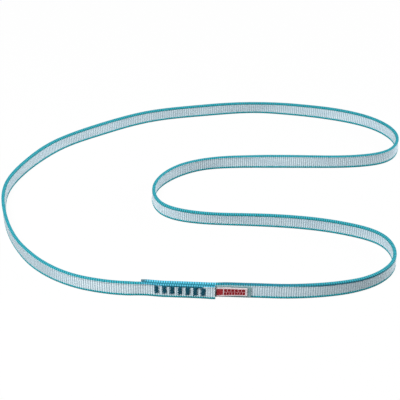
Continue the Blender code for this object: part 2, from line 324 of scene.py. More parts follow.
# %% A socket that can be added and multiplied
class Wire:
    """One output socket in a material's node tree."""

    def __init__(self, tree, socket=None):
        self.tree, self.socket = tree, socket

    def node(self, kind, settings=None, inputs=None, output=0):
        """Adds a node and gives one of its outputs."""
        made = self.tree.nodes.new(kind)
        for name, value in (settings or {}).items():
            setattr(made, name, value)
        for name, value in (inputs or {}).items():
            if isinstance(value, Wire):
                self.tree.links.new(value.socket, made.inputs[name])
            else:
                made.inputs[name].default_value = value
        return Wire(self.tree, made.outputs[output])

    def value(self, operation, *operands):
        return self.node("ShaderNodeMath", {"operation": operation}, dict(enumerate(operands)))

    def __add__(self, other):
        return self.value("ADD", self, other)

    def __sub__(self, other):
        return self.value("SUBTRACT", self, other)

    def __mul__(self, other):
        return self.value("MULTIPLY", self, other)

    def __truediv__(self, other):
        return self.value("DIVIDE", self, other)

    def __pow__(self, other):
        return self.value("POWER", self, other)

    def __rsub__(self, other):
        return self.value("SUBTRACT", other, self)

    __radd__, __rmul__ = __add__, __mul__

    def larger(self, other):
        return self.value("MAXIMUM", self, other)

    def size(self):
        return self.value("ABSOLUTE", self)

    def fraction(self):
        return self.value("FRACT", self)

    def fade(self, low, high):
        """0 below low, 1 above high and a smooth ramp in between."""
        settings = {"interpolation_type": "SMOOTHSTEP"}
        return self.node("ShaderNodeMapRange", settings, {"Value": self, 1: low, 2: high})

    def between(self, rise, fall):
        """0 before the first pair of values, 1 between the pairs and 0 after the second."""
        return self.fade(*rise) * (1 - self.fade(*fall))

    def bumps(self, sharpness):
        """Round crowns with grooves between them, one for every whole number of the value."""
        return 1 - self.value("COSINE", self * math.pi).size() ** sharpness

    def mix(self, first, second):
        """The first colour where the value is 0 and the second where it is 1."""
        colours = {0: self, 6: first, 7: second}
        return self.node("ShaderNodeMix", {"data_type": "RGBA"}, colours, output=2)

    def noise(self, along, around, detail=3):
        """Cloudy noise on the piece's own UVs, with that many clouds to a metre each way."""
        place = self.node("ShaderNodeUVMap", {"uv_map": "weave"})
        scale = {0: place, 1: (along, around, 1)}
        place = self.node("ShaderNodeVectorMath", {"operation": "MULTIPLY"}, scale)
        inputs = {"Vector": place, "Scale": 1, "Detail": detail}
        return self.node("ShaderNodeTexNoise", None, inputs)


# %% Start and finish a material
def new_material(name):
    """A material, a wire to start from, and its distances along and around the piece."""
    made = bpy.data.materials.new(name)
    made.use_nodes = True
    start = Wire(made.node_tree)
    place = start.node("ShaderNodeUVMap", {"uv_map": "weave"})
    parts = [start.node("ShaderNodeSeparateXYZ", None, {0: place}, output=k) for k in (0, 1)]
    return made, start, *parts


def paint(material, colour, roughness, relief=None, depth=0.1 * MM, **constants):
    """Links what varies to the material's shader, and sets what doesn't on its sockets."""
    shader = material.node_tree.nodes["Principled BSDF"]
    link = material.node_tree.links.new
    link(colour.socket, shader.inputs["Base Color"])
    link(roughness.socket, shader.inputs["Roughness"])
    if relief:
        bump = relief.node("ShaderNodeBump", None, {"Distance": depth, "Height": relief})
        link(bump.socket, shader.inputs["Normal"])
    for name, value in constants.items():
        shader.inputs[name.replace("_", " ")].default_value = value
    return material


# %% [markdown]
# ## The webbing's ground weave
#
# Seen close, the undyed middle of the webbing is a row of round ribs that run from edge to edge,
# each made of about a dozen yarns lying side by side. It is a double cloth: one face on the
# outside of the loop and one on the inside, with their ribs half a rib apart.
#
# A bump map alone would leave the edge of every rib straight, and the ribs are what the eye sees
# first. So they are real: five rings of points to a rib and two points to a yarn.

# %% Rib and yarn shapes
RIB_COUNT = round(strip.length / (1.63 * MM))
RIB_PITCH = strip.length / RIB_COUNT
RINGS_PER_RIB = 5
YARN_COUNT = 11
RIB_DEPTH = 0.16 * MM
YARN_DEPTH = 0.05 * MM
TUCK, TUCK_DEPTH = 0.25 * MM, 0.15 * MM  # the ground weave runs in under the selvedges
SEAM_FACE = 0.03 * MM  # from the strip's middle to the back of each cloth
RIB_SHARPNESS, YARN_SHARPNESS = 3, 2

TACK_COUNT = 7
TACK_PITCH = 5.25 * MM
TACK_WIDTH, TACK_HEIGHT = 3.6 * MM, 7.1 * MM
TACK_RISE = 1.0 * MM
TACK_DRIFT = 0.14 * MM  # each tack is sewn this much lower than the one before it
FIRST_TACK = 10.4 * MM  # from the inner layer's end to the middle of the first tack
PRESSED = 0.16 * MM  # how far a tack pulls the cloth in

tack_places = FIRST_TACK + TACK_PITCH * np.arange(TACK_COUNT)
tack_middles = WIDTH / 2 + TACK_RISE + TACK_DRIFT * ((TACK_COUNT - 1) / 2 - np.arange(TACK_COUNT))


def crowns(value, sharpness):
    """The same round crowns as Wire.bumps, for numbers."""
    return 1 - np.abs(np.cos(value * math.pi)) ** sharpness


def pressed(t, height, side):
    """How far the tacks press the face in: 0 away from them. side is 1 outside and -1 inside."""
    first = strip.loop if side > 0 else 0
    near = [np.exp(-(((t - first - k) / (TACK_WIDTH / 2)) ** 4)) for k in tack_places]
    tall = [np.exp(-(((height - k) / (TACK_HEIGHT / 2)) ** 6)) for k in tack_middles]
    return PRESSED * sum(n * m for n, m in zip(near, tall))


ring_at = np.linspace(0, strip.length, RIB_COUNT * RINGS_PER_RIB + 1)
SEAL_LENGTH = 3.0 * MM  # the hot knife that cut the strip drew its ends together
SEAL_PINCH = 0.22


def pinched(t):
    """The share of its thickness that the strip keeps near its cut ends."""
    from_end = np.minimum(t, strip.length - t)
    return 1 - SEAL_PINCH * (1 - smooth_step(from_end / SEAL_LENGTH))


print(RIB_COUNT, "ribs,", len(ring_at), "rings of points")


# %% The two cloths
GROUND_FROM, GROUND_TO = SELVEDGE_WIDTH["lower"], WIDTH - SELVEDGE_WIDTH["upper"]


def ground_cloth(name, side):
    """One face of the ground weave, from end to end: side is 1 outside and -1 inside."""
    height = np.linspace(GROUND_FROM - TUCK, GROUND_TO + TUCK, 2 * YARN_COUNT + 1)
    yarn = np.linspace(0, YARN_COUNT, 2 * YARN_COUNT + 1)
    t, h = np.meshgrid(ring_at, height, indexing="ij")
    rib = crowns(t / RIB_PITCH + (side < 0) / 2, RIB_SHARPNESS)
    crown = crowns(yarn, YARN_SHARPNESS)[None, :]
    across = GROUND_THICKNESS / 2 - RIB_DEPTH * (1 - rib) - YARN_DEPTH * rib * (1 - crown)
    across -= pressed(t, h, side)
    across -= TUCK_DEPTH * smooth_step(np.maximum(GROUND_FROM - h, h - GROUND_TO) / TUCK)
    face = strip.at(t, side * across * pinched(t), h)
    back = strip.at(ring_at[:, None], side * SEAM_FACE, height[[-1, 0]][None, :])
    around = np.append(height, height[-1] + np.arange(1, 4) * MM)
    return tube(name, np.concatenate([face, back], axis=1), ring_at, around, rows=9)


outer_cloth = ground_cloth("webbing_outer_cloth", 1)
inner_cloth = ground_cloth("webbing_inner_cloth", -1)
print("faces in each cloth:", len(outer_cloth.data.polygons))

# %% [markdown]
# ## Selvedges
#
# The dyed yarns at the two edges wrap round the edge of the strip. The weft turns back over them at
# every rib and pulls them into a string of beads. The section is half of a rounded box, with eight
# yarns round it, and the beads line up with the ribs, leaning a little as they go over the edge.

# %% Upper and lower selvedge
SELVEDGE_YARNS = 8
POINTS_PER_YARN = 2
BEAD_DEPTH = 0.11 * MM
BEAD_YARN_DEPTH = 0.05 * MM
BEAD_LEAN = 0.12  # share of a rib by which a bead leans from one face to the other
BOXINESS = 5  # 2 is an ellipse; more is nearer to a box
BACK_INSET = 0.2 * MM  # the hidden back of a selvedge lies this deep in the ground weave
BACK_STEP = 0.3 * MM  # from point to point round that back
FINE = 400


def selvedge_section(width):
    """Points (across, down from the edge) at even distances round the edge, with outward ones."""
    angle = np.linspace(0, math.pi, FINE)
    across = THICKNESS / 2 * np.sign(np.cos(angle)) * np.abs(np.cos(angle)) ** (2 / BOXINESS)
    down = width * (1 - np.abs(np.sin(angle)) ** (2 / BOXINESS))
    step = np.hypot(np.diff(across), np.diff(down))
    so_far = np.concatenate(([0], np.cumsum(step)))
    even = np.linspace(0, so_far[-1], SELVEDGE_YARNS * POINTS_PER_YARN + 1)
    points = np.column_stack([np.interp(even, so_far, across), np.interp(even, so_far, down)])
    ahead = np.gradient(points, axis=0)
    out = np.column_stack((ahead[:, 1], -ahead[:, 0]))
    out *= np.sign((out * (points - (0, width))).sum(axis=1))[:, None]
    return points, out / np.linalg.norm(out, axis=1)[:, None], even


def selvedge(which):
    """The upper or the lower selvedge, from end to end."""
    width = SELVEDGE_WIDTH[which]
    points, out, even = selvedge_section(width)
    share = np.linspace(-1, 1, len(points))[None, :]
    bead = crowns(ring_at[:, None] / RIB_PITCH + BEAD_LEAN * share, RIB_SHARPNESS)
    yarn = crowns(np.arange(len(points)) / POINTS_PER_YARN, YARN_SHARPNESS)[None, :]
    inward = BEAD_DEPTH * (1 - bead) + BEAD_YARN_DEPTH * bead * (1 - yarn)
    across = points[:, 0] - out[:, 0] * inward
    down = points[:, 1] - out[:, 1] * inward
    root = width + TUCK / 2
    hidden = np.array([-1, 0, 1]) * (GROUND_THICKNESS / 2 - RIB_DEPTH - BACK_INSET)
    across = np.hstack([across, np.tile(hidden, (len(ring_at), 1))])
    down = np.hstack([down, np.full((len(ring_at), 3), root)])
    height = WIDTH - down if which == "upper" else down
    rings = strip.at(ring_at[:, None], across * pinched(ring_at)[:, None], height)
    around = np.append(even, even[-1] + np.arange(1, 5) * BACK_STEP)
    return tube(f"selvedge_{which}", rings, ring_at, around, rows=15)


upper_selvedge = selvedge("upper")
lower_selvedge = selvedge("lower")
print("faces in each selvedge:", len(upper_selvedge.data.polygons))

# %% [markdown]
# The strip is cut with a hot knife. The yarns melt into a thin, lumpy bead along each cut, which
# keeps the weave from fraying. It is a stack of small rounded rings with a little noise.

# %% Two melted ends
MELT_THICK = 0.95 * MM  # half sizes, across the strip and along it
MELT_ALONG = {"inner": 0.32 * MM, "outer": 0.2 * MM}
MELT_FOOT, MELT_RISE = 0.1 * MM, 0.25 * MM  # a drop of melted yarn stands on the upper edge
MELT_TIP, MELT_TIP_SHARE = 0.6 * MM, 0.55  # over this length each tip thins to this share
MELT_ROUND = 5 * MM  # the way round a bead
MELT_BACK = 0.15 * MM  # the outer bead sits this far back, clear of the label
MELT_RINGS, MELT_POINTS = 90, 20
MELT_LUMPS = ((3, 1, 0.10), (7, 2, 0.08), (13, 3, 0.06))  # up the bead, round it, share


def melted_end(which, at_end):
    """The bead of melted yarn across one cut end."""
    height = np.linspace(MELT_FOOT, WIDTH + MELT_RISE, MELT_RINGS)[:, None]
    angle = np.linspace(0, 2 * math.pi, MELT_POINTS, endpoint=False)[None, :]
    size = np.ones((MELT_RINGS, MELT_POINTS))
    for up, turns, share in MELT_LUMPS:
        phase = random.uniform(0, 2 * math.pi, 2)
        size += share * np.sin(up * 2 * math.pi * height / WIDTH + turns * angle + phase[0])
    from_tip = np.minimum(height, WIDTH + MELT_RISE - height) / MELT_TIP
    size *= MELT_TIP_SHARE + (1 - MELT_TIP_SHARE) * smooth_step(from_tip)
    t = at_end + MELT_ALONG[which] * size * np.cos(angle)
    rings = strip.at(t, MELT_THICK * size * np.sin(angle), height)
    around = np.linspace(0, MELT_ROUND, MELT_POINTS + 1)
    return tube(f"melted_end_{which}", rings, height.ravel(), around)


melted = [melted_end("inner", 0), melted_end("outer", strip.length - MELT_BACK)]
print("melted ends:", [piece.name for piece in melted])

# %% [markdown]
# All this is one limp strip, 1.25 m long, whose middle line is worked out as a row of points.
# Both cloths, the selvedges and the melted ends move with the sling's body.

# %% The webbing takes the solid's place
cord_pieces = [inner_cloth, upper_selvedge, lower_selvedge, *melted]
for piece in [outer_cloth, *cord_pieces]:
    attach(piece, "sling")
    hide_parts("webbing")
middle_line = strip.at(ring_at[::RINGS_PER_RIB], 0, WIDTH / 2)
print("webbing:", len(cord_pieces) + 1, "pieces along", len(middle_line), "points")

# %% [markdown]
# ## Finish of the undyed webbing
#
# The ground weave is a waxy, undyed yarn: a cool grey white, darker in the grooves between the
# ribs, where light hardly reaches. Long thin fibres run with the yarns, so one noise is stretched
# along the strip. A second, much larger one keeps a metre of webbing from looking printed. Painted
# shade darkens two stretches of the front, and painted light brightens the last one, up to the
# outer end.

# %% Undyed yarn
GROUND_LIGHT = (0.69, 0.81, 0.87, 1)
GROUND_DARK = (0.29, 0.41, 0.47, 1)
GROUND_CLOUD = (0.60, 0.73, 0.81, 1)
# Painted shade: the colours of two darker stretches of the front
GROUND_SHADE_RIGHT = (0.50, 0.60, 0.65, 1)
GROUND_SHADE_LEFT = (0.45, 0.54, 0.59, 1)
# Painted light: the colour of the lighter last stretch, up to the outer end
GROUND_PAINTED_LIGHT = (0.76, 0.88, 0.94, 1)
# Where along the strip the painted shade and the painted light lie
PAINTED_SHADE_RIGHT = (105 * MM, 130 * MM), (150 * MM, 180 * MM)
PAINTED_SHADE_LEFT = (1040 * MM, 1070 * MM), (1128 * MM, 1145 * MM)
PAINTED_LIGHT_FROM = (1145 * MM, 1165 * MM)


def ground_finish(name, offset):
    """The undyed yarn of one face: offset is the share of a rib by which its ribs lie further."""
    made, start, along, around = new_material(name)
    rib = (along / RIB_PITCH + offset).bumps(RIB_SHARPNESS)
    yarn_pitch = (GROUND_TO - GROUND_FROM + 2 * TUCK) / YARN_COUNT
    yarn = ((around - (GROUND_FROM - TUCK)) / yarn_pitch).bumps(YARN_SHARPNESS)
    fibre = start.noise(900, 16000, 2)
    cloud = start.noise(40, 200, 2)
    crown = rib * (0.75 + 0.25 * yarn)
    shade = (crown * 0.85 + fibre * 0.3).fade(0.1, 1.0)
    light = cloud.fade(0.35, 0.65).mix(GROUND_LIGHT, GROUND_CLOUD)
    # Painted shade on two stretches of the front, then painted light up to the outer end
    light = along.between(*PAINTED_SHADE_RIGHT).mix(light, GROUND_SHADE_RIGHT)
    light = along.between(*PAINTED_SHADE_LEFT).mix(light, GROUND_SHADE_LEFT)
    light = along.fade(*PAINTED_LIGHT_FROM).mix(light, GROUND_PAINTED_LIGHT)
    colour = shade.mix(GROUND_DARK, light)
    relief = fibre + yarn * 0.4
    return paint(
        made,
        colour,
        0.5 + 0.25 * fibre,
        relief,
        0.04 * MM,
        Sheen_Weight=0.15,
        Sheen_Roughness=0.4,
    )


outer_cloth.data.materials.append(ground_finish("undyed_webbing_outside", 0))
inner_cloth.data.materials.append(ground_finish("undyed_webbing_inside", 0.5))
print("nodes in the undyed yarn:", len(outer_cloth.active_material.node_tree.nodes))

# %% [markdown]
# ## Finish of the selvedges
#
# The edge yarns are dyed teal. Painted shade darkens them between the beads, and the faces are
# painted lighter than the very edge, as light falls on them. The tops of the seam's edges get a
# painted highlight. Painted shade fills the groove where the outer layer meets the inner one,
# darkens the outer layer's faces, and makes the teal deeper and bluer for a hand's width past the
# seam.
# A narrow loom locks its weft along one edge only, so the two edges differ: on the outside, most
# of the upper one shows undyed weft before the teal begins. It doesn't where the outer layer is
# sewn, because the tacks draw its edge over.

# %% Teal yarn
# Painted shade between the beads
TEAL_BEAD_SHADE = (0.003, 0.085, 0.110, 1)
# The faces painted lighter and the very edge darker, as light falls on them
TEAL_PAINTED_LIT_FACE = (0.020, 0.400, 0.460, 1)
TEAL_PAINTED_DIM_EDGE = (0.026, 0.300, 0.370, 1)
# Painted highlight on the tops of the seam's edges
TEAL_PAINTED_HIGHLIGHT = (0.085, 0.430, 0.590, 1)
# Painted shade
TEAL_PAINTED_SHADE = (0.010, 0.160, 0.240, 1)
SCORCHED = (0.060, 0.130, 0.170, 1)
UNDYED = 0.70 * MM  # of the outer face's part of the upper selvedge
UNDYED_MORE = 0.45 * MM  # added to it past the last tack
UNDYED_UNTIL, UNDYED_AGAIN = (95 * MM, 125 * MM), (190 * MM, 450 * MM)
ALL_DYED = (12 * MM, 18 * MM), (39 * MM, 43 * MM)  # of the outer layer, where it is sewn
# Where painted shade darkens the edge and the faces past the seam
PAINTED_SHADE_EDGE = (50 * MM, 54 * MM), (95 * MM, 130 * MM)
PAINTED_SHADE_FACE = (95 * MM, 125 * MM), (150 * MM, 200 * MM)
SCORCH = (1 * MM, 5 * MM)  # the hot knife's mark on the inner end
LAYER_FADE = 3 * MM  # to either side of the place where the outer layer begins
# Painted shade fills this part of the outer layer's edge, where the layers meet
GROOVE = (2.0 * MM, 2.4 * MM), (3.3 * MM, 3.7 * MM)  # round the outer layer's edge


def dye_and_shade_along(along, around, turned):
    """The upper selvedge's teal, painted shade and highlight, and undyed width, along the strip."""
    inner_layer = 1 - along.fade(SEAM_LENGTH, SEAM_LENGTH + MM)
    outer_layer = along.fade(strip.loop - LAYER_FADE, strip.loop + LAYER_FADE)
    # Painted shade in the groove where the layers meet, past the seam, and on the outer layer's
    # faces
    groove_shade = outer_layer * around.between(*GROOVE)
    shaded_edge = along.between(*PAINTED_SHADE_EDGE).larger(groove_shade)
    shaded_face = along.between(*PAINTED_SHADE_FACE).larger(outer_layer)
    # A painted highlight on the tops of the edges along the seam
    edge = inner_layer.larger(outer_layer).mix(TEAL_PAINTED_DIM_EDGE, TEAL_PAINTED_HIGHLIGHT)
    edge = shaded_edge.mix(edge, TEAL_PAINTED_SHADE)
    # Faces painted lighter than the very edge, as light falls on them
    teal = turned.mix(shaded_face.mix(TEAL_PAINTED_LIT_FACE, TEAL_PAINTED_SHADE), edge)
    teal = (1 - along.fade(*SCORCH)).mix(teal, SCORCHED)
    undyed = (1 - along.fade(*UNDYED_UNTIL)).larger(along.fade(*UNDYED_AGAIN)) * UNDYED
    sewn = (along - strip.loop).between(*ALL_DYED)
    past_tacks = along.fade(strip.loop + ALL_DYED[1][0], strip.loop + ALL_DYED[1][1])
    return teal, (undyed + past_tacks * UNDYED_MORE) * (1 - sewn)


def selvedge_finish(which):
    """The yarn of the upper or the lower selvedge."""
    made, start, along, around = new_material(f"teal_selvedge_yarn_{which}")
    edge_length = float(selvedge_section(SELVEDGE_WIDTH[which])[2][-1])
    from_edge = around / edge_length * 2 - 1
    on_edge = 1 - from_edge.size()
    bead = (along / RIB_PITCH + from_edge * BEAD_LEAN).bumps(RIB_SHARPNESS)
    yarn = (around / edge_length * SELVEDGE_YARNS).bumps(YARN_SHARPNESS)
    fibre = start.noise(1200, 20000, 2)
    turned = (on_edge + fibre * 0.3).fade(0.45, 0.85)
    # Painted shade between the beads and the yarns, where light hardly reaches
    shade = (bead * (0.7 + 0.3 * yarn) + fibre * 0.3).fade(0.1, 1.0)
    if which == "upper":
        teal, undyed = dye_and_shade_along(along, around, turned)
        dyed = ((around + fibre * 0.2 * MM - undyed) / (0.25 * MM)).fade(0, 1)
        plain = shade.mix(GROUND_DARK, GROUND_LIGHT)
        colour = dyed.mix(plain, shade.mix(TEAL_BEAD_SHADE, teal))
    else:
        # Faces painted lighter than the very edge, as light falls on them
        colour = shade.mix(TEAL_BEAD_SHADE, turned.mix(TEAL_PAINTED_LIT_FACE, TEAL_PAINTED_DIM_EDGE))
    relief = fibre + yarn * 0.4
    roughness = 0.45 + 0.3 * fibre
    return paint(made, colour, roughness, relief, 0.04 * MM, Specular_IOR_Level=0.2)


upper_selvedge.data.materials.append(selvedge_finish("upper"))
lower_selvedge.data.materials.append(selvedge_finish("lower"))
print("nodes in the upper selvedge's yarn:", len(upper_selvedge.active_material.node_tree.nodes))

# %% Melted yarn, grey where the ground was and dark teal at both edges
MELT_LIGHT = (0.25, 0.28, 0.27, 1)
MELT_DARK = (0.10, 0.13, 0.13, 1)
MELT_TEAL = (0.030, 0.120, 0.165, 1)

made, start, height, around = new_material("melted_yarn")
from_middle = (height / WIDTH * 2 - 1).size()
at_edge = from_middle.fade(0.63, 0.77)
lump = start.noise(1500, 900)
grey = lump.fade(0.35, 0.65).mix(MELT_DARK, MELT_LIGHT)
melt = paint(made, at_edge.mix(grey, MELT_TEAL), 0.35 + 0.3 * lump, lump, 0.05 * MM)
for piece in melted:
    piece.data.materials.append(melt)
print(melt.name, "on", len(melted), "ends")

# %% [markdown]
# ## Bar tacks
#
# A sewing machine makes a bar tack from a dense zigzag over a few straight stitches. Each stitch
# comes up through the webbing, crosses the tack and goes down again, and where it goes down it
# pulls a notch, so both sides of the tack are serrated. The bobbin's thread does the same on the
# other face. A Blender curve with a round bevel would give smooth wire, so the thread is built
# from rings whose section has three lobes, and which turn as they go: three plies, twisted.

# %% A twisted thread
PLIES = 3
RING_POINTS = 15
PLY_PITCH = 1.5 * MM  # length of one full turn of the twist
PLY_GROOVE = 0.20  # share of the radius


def twisted_thread(name, points, radius, step=0.11 * MM):
    """A thread of three twisted plies along the points."""
    legs = np.linalg.norm(np.diff(points, axis=0), axis=1)
    so_far = np.concatenate(([0], np.cumsum(legs)))
    at = np.linspace(0, so_far[-1], math.ceil(so_far[-1] / step) + 1)
    line = np.column_stack([np.interp(at, so_far, points[:, k]) for k in range(3)])
    ahead = np.gradient(line, axis=0)
    ahead /= np.linalg.norm(ahead, axis=1)[:, None]
    side = np.zeros_like(line)
    last = np.cross(ahead[0], (0.3, 0.5, 0.8))
    for k, way in enumerate(ahead):  # carried along, so that only the twist turns it
        last = last - way * (last @ way)
        last /= np.linalg.norm(last)
        side[k] = last
    other = np.cross(ahead, side)
    angle = np.linspace(0, 2 * math.pi, RING_POINTS, endpoint=False)[None, :]
    turn = (at / PLY_PITCH * 2 * math.pi)[:, None]
    lobe = np.abs(np.cos(PLIES * (angle - turn) / 2))
    reach = radius * (1 - PLY_GROOVE + PLY_GROOVE * lobe)[..., None]
    spread = np.cos(angle)[..., None] * side[:, None] + np.sin(angle)[..., None] * other[:, None]
    around = np.linspace(0, 1, RING_POINTS + 1)
    return tube(name, line[:, None] + reach * spread, at, around)


# %% Where each stitch goes
PASSES = 8
THREAD_RADIUS = 0.35 * MM
UNDERLAY_RADIUS = 0.27 * MM
UNDERLAY_PLACES = np.linspace(-0.70, 0.70, 5) * MM
UNDERLAY_OVER, UNDERLAY_DIP = 0.02 * MM, 0.12 * MM  # over the face, and down at each hole
STITCH_POINTS = 17
HOLE_DEPTH = 0.50 * MM
CREST = 0.28 * MM  # of a stitch's middle line over the face
HOLE_JITTER = 0.11 * MM
MOST_LEAN = 0.035  # of a tack, as a slope
WIDTH_SPREAD = 0.04  # from tack to tack


def zigzag(jitter):
    """Points (along, out, up) of one thread, from hole to hole, round the tack's middle."""
    reach = TACK_WIDTH / 2 - THREAD_RADIUS / 2
    rise = (TACK_HEIGHT - 2 * THREAD_RADIUS) / PASSES
    up = (np.arange(PASSES + 1) - PASSES / 2) * rise
    side = np.where(np.arange(PASSES + 1) % 2, 1, -1) * reach
    holes = np.column_stack([side, up]) + jitter
    points = []
    for first, second in zip(holes, holes[1:]):
        share = np.linspace(0, 1, STITCH_POINTS)[:, None]
        flat = first + (second - first) * share
        bow = 1 - np.abs(2 * share - 1) ** 8
        out = bow * (CREST + HOLE_DEPTH) - HOLE_DEPTH
        points.append(np.hstack([flat[:, :1], out, flat[:, 1:]])[:-1])
    return np.vstack([*points, [[holes[-1][0], -HOLE_DEPTH, holes[-1][1]]]])


def underlay(place):
    """A straight run of stitches up the tack, under the zigzag."""
    share = np.linspace(0, 1, 3 * STITCH_POINTS)
    up = (share - 0.5) * (TACK_HEIGHT - 4 * THREAD_RADIUS)
    out = UNDERLAY_OVER - UNDERLAY_DIP * np.abs(np.cos(share * 3 * math.pi)) ** 8
    return np.column_stack([np.full_like(up, place), out, up])


def onto_seam(points, number, side):
    """Moves a tack's points onto the outer face of the seam (side 1) or its inner face (-1)."""
    t = tack_places[number] + points[:, 0] + (strip.loop if side > 0 else 0)
    face = side * (GROUND_THICKNESS / 2 - PRESSED + points[:, 1])
    return strip.at(t, face, tack_middles[number] + points[:, 2])


print("stitches from side to side in a tack:", PASSES)


# %% Sew the seven tacks
def join(objects, name):
    """One object of several, with one UV map layout."""
    with bpy.context.temp_override(active_object=objects[0], selected_editable_objects=objects):
        bpy.ops.object.join()
    objects[0].name = objects[0].data.name = name
    return objects[0]


def bar_tack(node, number, side):
    """All the thread of one side of a tack: its zigzag and the straight stitches under it."""
    jitter = random.normal(0, HOLE_JITTER, (PASSES + 1, 2))
    lean = random.uniform(-MOST_LEAN, MOST_LEAN)
    wide = random.normal(1, WIDTH_SPREAD)

    def sewn(points):
        """The points with this tack's own width and lean, on the seam."""
        along = points[:, 0] * wide + points[:, 2] * lean
        return onto_seam(np.column_stack([along, points[:, 1:]]), number, side)

    threads = [twisted_thread("zigzag", sewn(zigzag(jitter)), THREAD_RADIUS)]
    for place in UNDERLAY_PLACES:
        points = sewn(underlay(place))
        threads.append(twisted_thread("straight", points, UNDERLAY_RADIUS))
    return join(threads, node + "_stitches")


stitches = []
for number in range(TACK_COUNT):
    for thread, side in (("needle", 1), ("bobbin", -1)):
        node = f"{thread}_thread_{number + 1}"
        tack = bar_tack(node, number, side)
        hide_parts(node)
        stitches.append(tack)
print(len(stitches), "sides of tacks,", len(stitches[0].data.polygons), "faces each")

# %% [markdown]
# The machine doesn't cut its thread between the last two tacks. It leaves a short loose end that
# jumps from the top of one to the top of the next.

# %% The loose thread
JUMP_RISE = 0.5 * MM
JUMP_POINTS = 40

share = np.linspace(0, 1, JUMP_POINTS)
t = tack_places[-2] + strip.loop + share * TACK_PITCH
top = tack_middles[-2] - share * TACK_DRIFT + TACK_HEIGHT / 2 - THREAD_RADIUS
lie = GROUND_THICKNESS / 2 + THREAD_RADIUS
dive = (np.abs(2 * share - 1) ** 8) * (lie - GROUND_THICKNESS / 2 + HOLE_DEPTH)
jump_line = strip.at(t, lie - dive, top + JUMP_RISE * np.sin(share * math.pi) ** 0.7)
jump = twisted_thread("jump_thread_loose", jump_line, THREAD_RADIUS)
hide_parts("jump_thread")
stitches.append(jump)
print("loose thread:", [round(size * 1000, 1) for size in jump.dimensions], "mm")

# %% [markdown]
# ## Finish of the thread
#
# Bar tacks are sewn with a bonded multifilament thread, dark petrol here. It is smooth, with a soft
# gloss on the top of each ply, and painted shade makes it almost black between the plies.

# %% Petrol thread
THREAD_LIGHT = (0.005, 0.112, 0.175, 1)
# Painted shade between the plies
THREAD_PLY_SHADE = (0.001, 0.034, 0.056, 1)

made, start, along, around = new_material("petrol_sewing_thread")
# Painted shade darkens the thread between the plies
ply = ((around - along / PLY_PITCH) * PLIES + 0.5).bumps(1.5)
fibre = start.noise(2500, 60, 2)
petrol = paint(
    made,
    (ply * 0.8 + fibre * 0.35).fade(0.2, 1.0).mix(THREAD_PLY_SHADE, THREAD_LIGHT),
    0.38 + 0.25 * fibre,
    fibre,
    0.02 * MM,
    Specular_IOR_Level=0.12,
)
for piece in stitches:
    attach(piece, "sling")
    piece.data.materials.append(petrol)
print(petrol.name, "on", len(stitches), "pieces")

# %% [markdown]
# ## The label
#
# Two leaves of woven tape stand one behind the other, sewn in under the end of the outer layer. A
# leaf is thin cloth, so it gets a real thickness, a soft bow and a slightly wavy free end. The
# solid has a hinge near the seam, where a leaf lifts like a page. The places of a bend of two and a
# half millimetres are worked out, but the leaves stay where they lie and follow no body.

# %% Leaves
LEAF_THICKNESS = 0.28 * MM
LEAF_ALONG, LEAF_UP = 72, 26
ROOT = SEAM_LENGTH + 0.7 * MM
FRONT_SIZE = (20.8 * MM, 7.95 * MM)
REAR_SIZE = (23.2 * MM, 8.9 * MM)
LEAF_GAP, LEAF_PITCH = 0.2 * MM, 0.5 * MM  # off the webbing, and from leaf to leaf
REAR_FACE = THICKNESS / 2 + LEAF_GAP
FRONT_FACE = REAR_FACE + LEAF_PITCH
REAR_FOOT, FRONT_FOOT = 1.1 * MM, 1.05 * MM
SLANT = 1.5 * MM  # the front leaf's lower edge rises to its free end
REAR_START = -0.4 * MM  # hard against the end of the outer layer
FRONT_START = -0.1 * MM  # clear of it when both leaves are lifted
BEND_START, BEND_END = -0.5 * MM, 2.0 * MM
RIM, RIM_WIDTH = 0.09 * MM, 0.25 * MM  # rounding of the cut edges
REAR_BOW, FRONT_BOW = 0.05 * MM, 0.20 * MM  # how far the free ends bow away
WAVE_SHARE, WAVE_TURN, WAVE_START = 0.35, 2.2 * math.pi, 0.6  # of the bow, up the free end
CUP = 0.08 * MM  # the long edges curl away by this much
BACK_GAP = 0.03  # of a leaf's height, between the pictures of its front and its back
SEWN_FACE, SEWN_THICKNESS = THICKNESS / 2 + 0.04 * MM, 0.34 * MM
SEWN_FROM, SEWN_TO = -4.7 * MM, -1.0 * MM


def leaf(name, size, face, foot, bow, start=0.0, thickness=LEAF_THICKNESS, slant=0.0):
    """A leaf of tape on the webbing's face: face is the distance to its inner side."""
    length, height = size
    along = ROOT + np.linspace(start, length, LEAF_ALONG)
    up = np.linspace(0, 1, LEAF_UP)
    t, share = np.meshgrid(along, up, indexing="ij")
    free = (t - ROOT).clip(0) / length
    wave = bow * free**2 * (1 + WAVE_SHARE * np.cos(WAVE_TURN * share + WAVE_START))
    cup = CUP * (2 * share - 1) ** 2 * free
    inner = face + wave + cup
    edge = np.minimum(share, 1 - share) * height
    thin = RIM * (1 - smooth_step(edge / RIM_WIDTH))
    level = foot + share * height + slant * free * (2 - free) * (1 - share)
    fore = strip.at(t, inner + thickness - thin, level)
    back = strip.at(t, inner + thin, level)
    rings = np.concatenate([fore, back[:, ::-1]], axis=1)
    around = np.concatenate([up, up + 1 + BACK_GAP, [2 + 2 * BACK_GAP]]) * height
    return tube(name, rings, along - ROOT, around)


